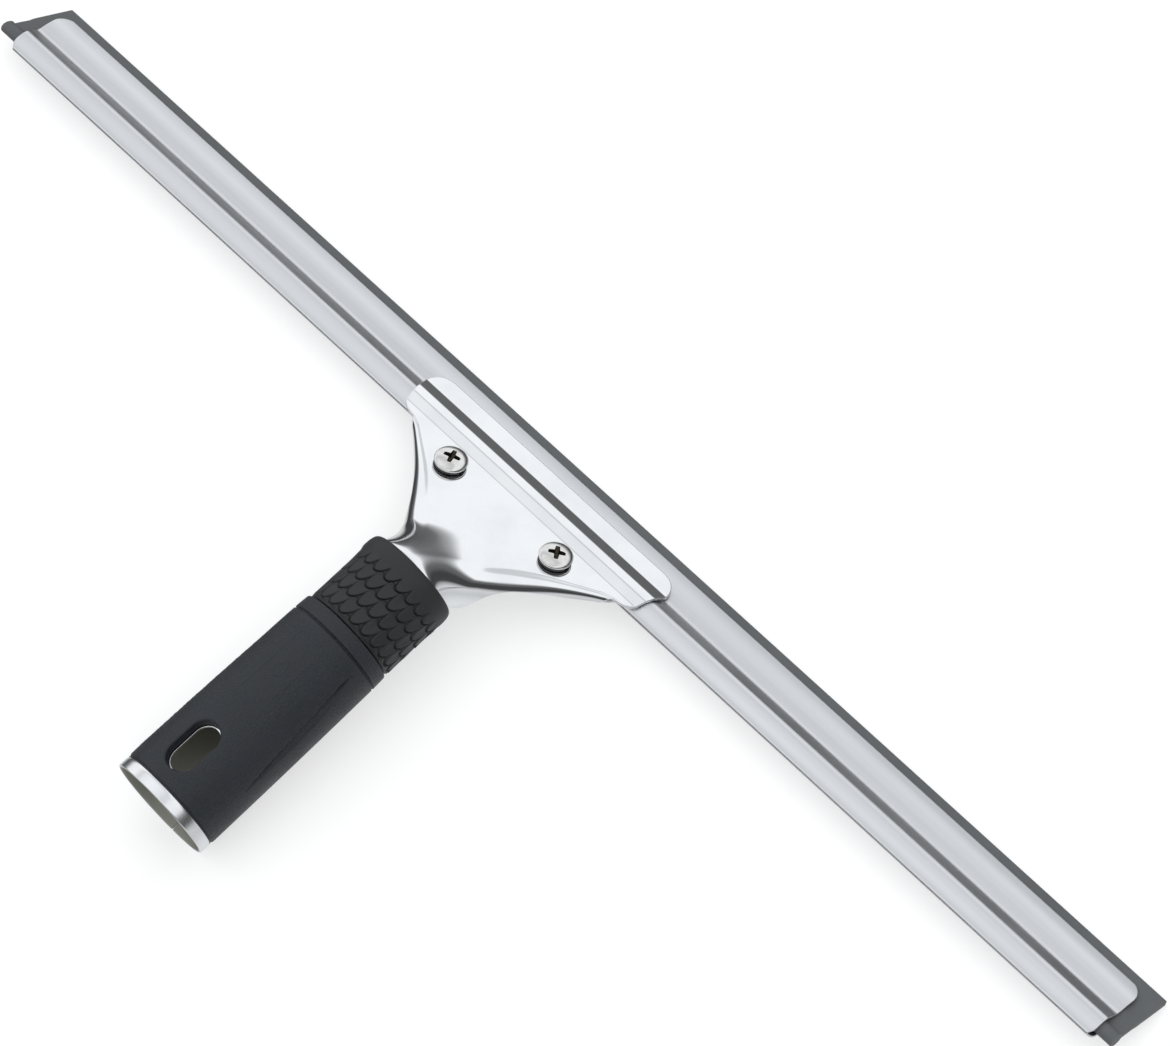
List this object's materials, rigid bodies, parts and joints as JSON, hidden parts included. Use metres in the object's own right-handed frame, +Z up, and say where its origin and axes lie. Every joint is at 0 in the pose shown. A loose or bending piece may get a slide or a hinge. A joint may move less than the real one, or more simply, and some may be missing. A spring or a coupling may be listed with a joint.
{
  "type": "window squeegee",
  "caption": "Window cleaning squeegee: bent stainless clamp handle with a black grip sleeve, long stainless channel and a rubber blade.",
  "frame": {"origin": "on the surface it lies on, under the middle of the bounding box", "axes": "+X along the blade, +Y from the handle towards the blade, +Z up, with the screws on top; it lies on the blade's edge and the tube's rim"},
  "size_m": [0.4628, 0.1584, 0.0381],
  "materials": {
    "polished_steel": "mirror polished stainless steel",
    "pressed_steel": "pressed stainless steel, as rolled",
    "satin_steel": "bright stainless steel with lengthwise drawing lines",
    "blade_rubber": "matt dark grey natural rubber",
    "grip_rubber": "blue-black rubber with a fine leather grain",
    "scale_rubber": "black rubber with a raised scale pattern",
    "screw_steel": "bright stainless fastener steel",
    "nut_steel": "turned stainless steel"
  },
  "bodies": {
    "handle": {"handle_body": "polished_steel", "rear_grip": "grip_rubber", "front_grip": "scale_rubber", "lock_washer_left": "screw_steel", "lock_washer_right": "screw_steel"},
    "lower_clamp": {"lower_jaw": "pressed_steel", "clamp_nut_left": "nut_steel", "clamp_nut_right": "nut_steel"},
    "screw_left": {"clamp_screw_left": "screw_steel"},
    "screw_right": {"clamp_screw_right": "screw_steel"},
    "channel_bar": {"channel": "satin_steel"},
    "blade": {"rubber_blade": "blade_rubber"}
  },
  "joints": [
    {"name": "jaw_open", "type": "slide", "parent": "handle", "child": "lower_clamp", "axis": [0, -0.3695, -0.9292], "range_m": [0, 0.0016]},
    {"name": "clamp_screw_left_turn", "type": "hinge", "parent": "handle", "child": "screw_left", "pos_m": [-0.02062, 0.05121, 0.0171], "axis": [0, 0.3695, 0.9292], "range_deg": [0, 720]},
    {"name": "clamp_screw_right_turn", "type": "hinge", "parent": "handle", "child": "screw_right", "pos_m": [0.02308, 0.05121, 0.0171], "axis": [0, 0.3695, 0.9292], "range_deg": [0, 720]},
    {"name": "channel_slide", "type": "slide", "parent": "handle", "child": "channel_bar", "axis": [1, 0, 0], "range_m": [-0.2755, 0.2755]},
    {"name": "blade_slide", "type": "slide", "parent": "channel_bar", "child": "blade", "axis": [1, 0, 0], "range_m": [-0.46, 0.46]}
  ],
  "couplings": [
    {"joint": "clamp_screw_left_turn", "follows": "jaw_open", "rad_per_m": 7853.9},
    {"joint": "clamp_screw_right_turn", "follows": "jaw_open", "rad_per_m": 7853.9}
  ]
}
